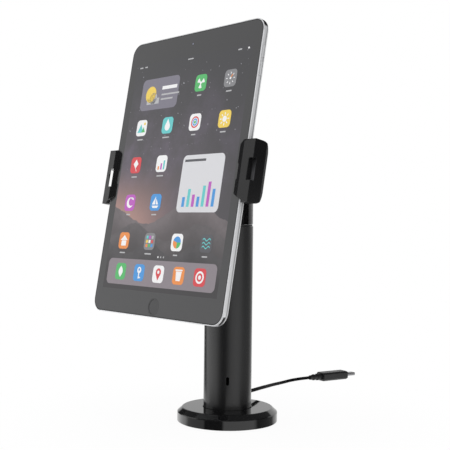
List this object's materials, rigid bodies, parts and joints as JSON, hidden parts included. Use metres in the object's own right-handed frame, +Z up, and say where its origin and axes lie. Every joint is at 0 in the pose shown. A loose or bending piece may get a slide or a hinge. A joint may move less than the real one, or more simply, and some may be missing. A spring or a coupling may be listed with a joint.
{
  "type": "tablet security kiosk stand",
  "caption": "Upright countertop stand on a round base: swivelling, tilting head and a quarter-turn holder whose geared, sprung jaws clamp a tablet by its long edges.",
  "frame": {"origin": "centre of the foot pad's underside, on the counter", "axes": "+Z up, -Y the way the tablet faces, +X towards the tablet's right edge as its user sees it"},
  "size_m": [0.1886, 0.344, 0.3304],
  "materials": {
    "rubber": "matt black rubber",
    "steel_plate": "zinc-plated steel",
    "gloss_cover": "glossy black",
    "satin_black_metal": "satin black powder coat",
    "bearing_plastic": "black acetal",
    "steel": "plain steel",
    "black_plastic": "fine-grained black plastic",
    "tablet_metal": "anodised silver grey with a polished rim",
    "tablet_glass": "clear cover glass",
    "tablet_inner": "dark display and inner block"
  },
  "bodies": {
    "base": {"rubber_foot_pad": "rubber", "base_flange": "steel_plate", "base_cover": "gloss_cover", "pole_tube": "satin_black_metal", "pole_grub_screw_1": "steel", "pole_grub_screw_2": "steel", "cable_grommet": "rubber", "cable_inner_run": "rubber", "cable_socket": "black_plastic", "swivel_bush": "bearing_plastic", "free_cord": "rubber", "cord_strain_relief": "rubber", "plug_body": "black_plastic", "plug_shell": "steel"},
    "head": {"head_shell": "satin_black_metal", "swivel_spindle": "steel", "swivel_washer": "steel", "swivel_nut": "steel", "swivel_stop_pin": "steel", "tilt_bolt": "steel", "tilt_nut": "steel"},
    "tilt": {"tilt_arm": "satin_black_metal", "tilt_washer_left": "bearing_plastic", "tilt_washer_right": "bearing_plastic", "hub_friction_washer": "bearing_plastic", "hub_retaining_washer": "steel", "hub_screw": "steel"},
    "holder": {"holder_housing": "black_plastic", "holder_cover": "black_plastic", "cover_screw_1": "steel", "cover_screw_2": "steel", "cover_screw_3": "steel", "cover_screw_4": "steel", "back_pad": "rubber", "pinion_axle": "steel", "return_spring": "steel", "lock_sleeve": "steel"},
    "pinion": {"pinion": "bearing_plastic"},
    "lock": {"lock_barrel": "steel", "lock_cam": "steel"},
    "jaw_right": {"jaw_right": "black_plastic", "rack_arm_right": "satin_black_metal", "jaw_pad_right": "rubber", "jaw_screw_right_1": "steel", "jaw_screw_right_2": "steel"},
    "jaw_left": {"jaw_left": "black_plastic", "rack_arm_left": "satin_black_metal", "jaw_pad_left": "rubber", "jaw_screw_left_1": "steel", "jaw_screw_left_2": "steel"},
    "tablet": {"tablet_housing": "tablet_metal", "tablet_core": "tablet_inner", "display_panel": "tablet_inner", "tablet_glass": "tablet_glass", "rear_lens": "tablet_glass"},
    "home_button": {"home_button": "tablet_inner"},
    "volume_up_key": {"volume_up_key": "tablet_metal"},
    "volume_down_key": {"volume_down_key": "tablet_metal"},
    "sleep_key": {"sleep_key": "tablet_metal"}
  },
  "joints": [
    {"name": "head_swivel", "type": "hinge", "parent": "base", "child": "head", "pos_m": [0, 0, 0.1699], "axis": [0, 0, 1], "range_deg": [-170, 170]},
    {"name": "arm_tilt", "type": "hinge", "parent": "head", "child": "tilt", "pos_m": [0, 0, 0.1994], "axis": [-1, 0, 0], "range_deg": [-20, 50]},
    {"name": "holder_turn", "type": "hinge", "parent": "tilt", "child": "holder", "pos_m": [0, -0.03741, 0.20606], "axis": [0, -0.9845, 0.1754], "range_deg": [0, 90]},
    {"name": "jaw_right_slide", "type": "slide", "parent": "holder", "child": "jaw_right", "axis": [1, 0, 0], "range_m": [0, 0.018], "stiffness_N_per_m": 200, "springref_m": -0.02},
    {"name": "jaw_left_slide", "type": "slide", "parent": "holder", "child": "jaw_left", "axis": [-1, 0, 0], "range_m": [0, 0.018], "stiffness_N_per_m": 200, "springref_m": -0.02},
    {"name": "pinion_turn", "type": "hinge", "parent": "holder", "child": "pinion", "pos_m": [0, -0.04873, 0.20808], "axis": [0, 0.9845, -0.1754], "range_deg": [0, 103.2]},
    {"name": "lock_turn", "type": "hinge", "parent": "holder", "child": "lock", "pos_m": [0.03, -0.04535, 0.18432], "axis": [0, -0.9845, 0.1754], "range_deg": [0, 90]},
    {"name": "tablet_lift", "type": "slide", "parent": "holder", "child": "tablet", "axis": [0, 0.1754, 0.9845], "range_m": [0, 0.15]},
    {"name": "home_button_press", "type": "slide", "parent": "tablet", "child": "home_button", "axis": [0, 0.9845, -0.1754], "range_m": [0, 0.0004], "stiffness_N_per_m": 800, "springref_m": -0.0008},
    {"name": "volume_up_press", "type": "slide", "parent": "tablet", "child": "volume_up_key", "axis": [-1, 0, 0], "range_m": [0, 0.0004], "stiffness_N_per_m": 800, "springref_m": -0.0008},
    {"name": "volume_down_press", "type": "slide", "parent": "tablet", "child": "volume_down_key", "axis": [-1, 0, 0], "range_m": [0, 0.0004], "stiffness_N_per_m": 800, "springref_m": -0.0008},
    {"name": "sleep_key_press", "type": "slide", "parent": "tablet", "child": "sleep_key", "axis": [0, -0.1754, -0.9845], "range_m": [0, 0.0004], "stiffness_N_per_m": 800, "springref_m": -0.0008}
  ],
  "couplings": [
    {"joint": "jaw_left_slide", "follows": "jaw_right_slide", "ratio": 1},
    {"joint": "pinion_turn", "follows": "jaw_right_slide", "rad_per_m": 100}
  ]
}
